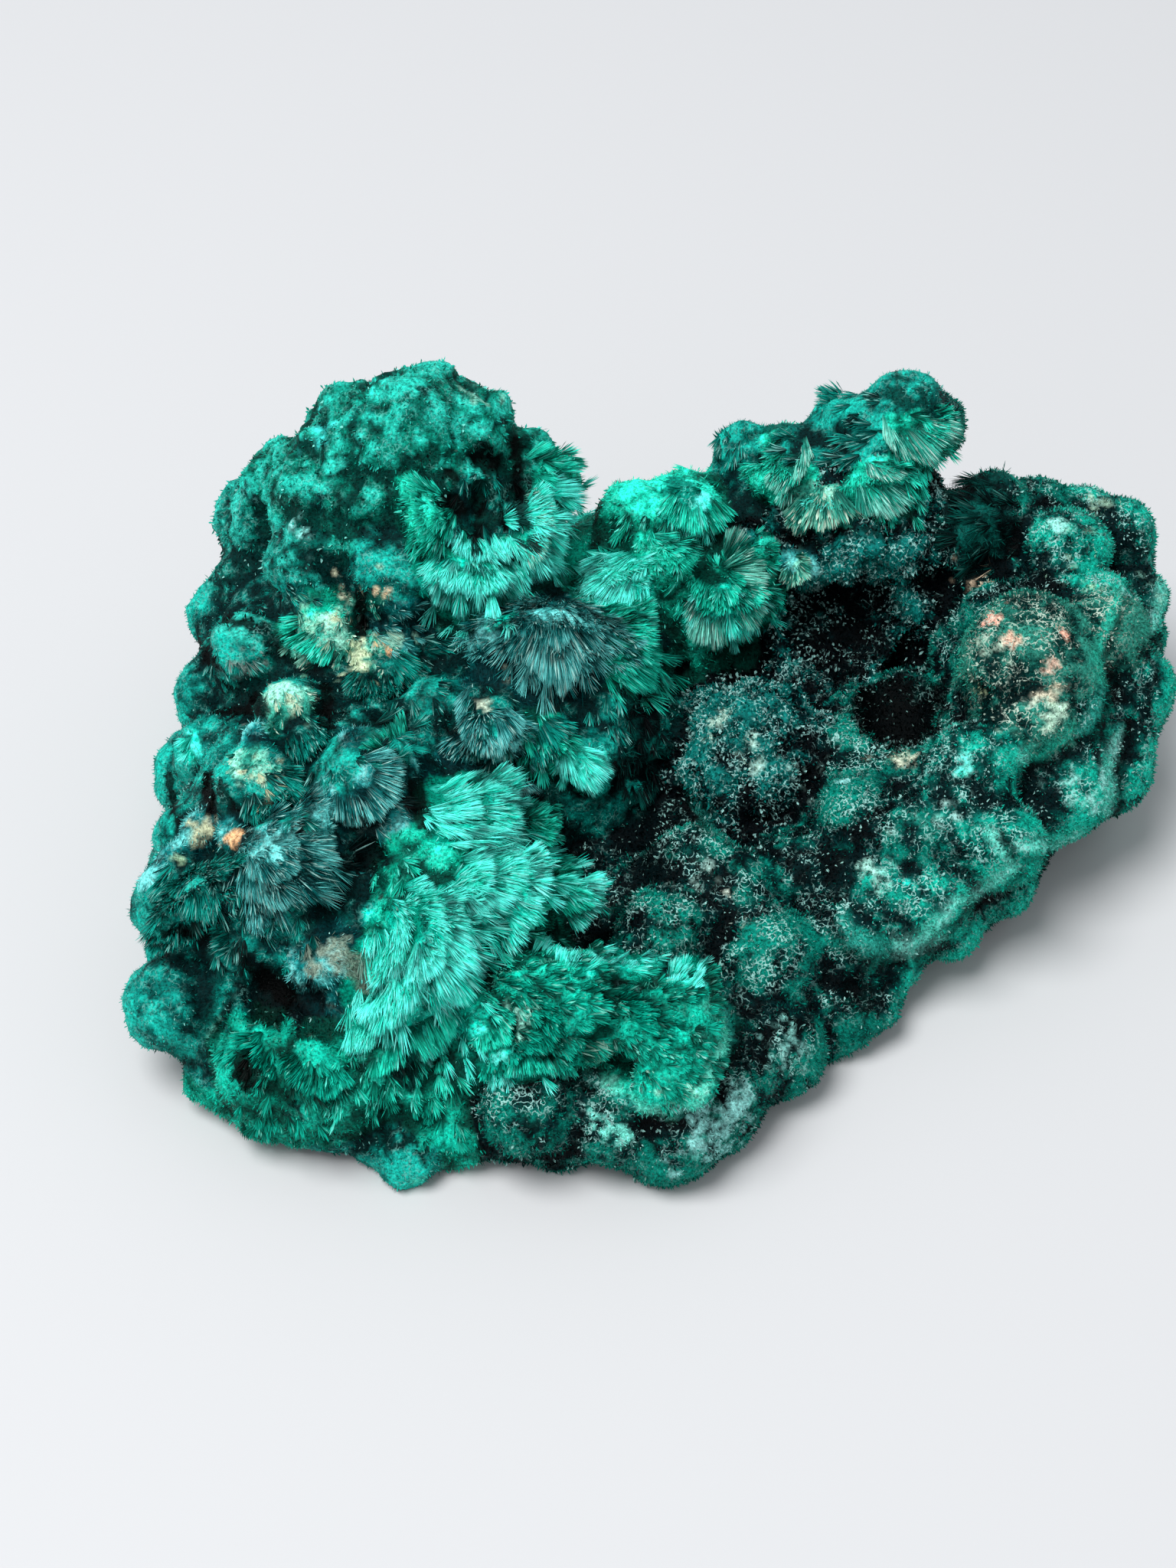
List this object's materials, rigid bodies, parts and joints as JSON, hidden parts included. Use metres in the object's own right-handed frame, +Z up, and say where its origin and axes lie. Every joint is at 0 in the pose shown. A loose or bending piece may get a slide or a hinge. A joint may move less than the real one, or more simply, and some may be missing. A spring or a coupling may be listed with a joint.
{
  "type": "velvet malachite specimen",
  "caption": "Rough natural mineral specimen: a low body overgrown with green domes and fans of fine radiating needles, with two peaks at the back and a flat cut underside.",
  "frame": {"origin": "on the flat cut underside, below the valley between the bright crest and the dark domes", "axes": "+Z up, square to the flat cut underside; +X along the long side, from the taller peak's end to the domed end; +Y to the back, where the two peaks stand"},
  "size_m": [0.0715, 0.0563, 0.0306],
  "materials": {
    "malachite_needles": "silky green needles, bright at the fringes and nearly black in the hollows, with tan and pink crusts"
  },
  "bodies": {
    "root": {"velvet_malachite": "malachite_needles"}
  },
  "joints": []
}
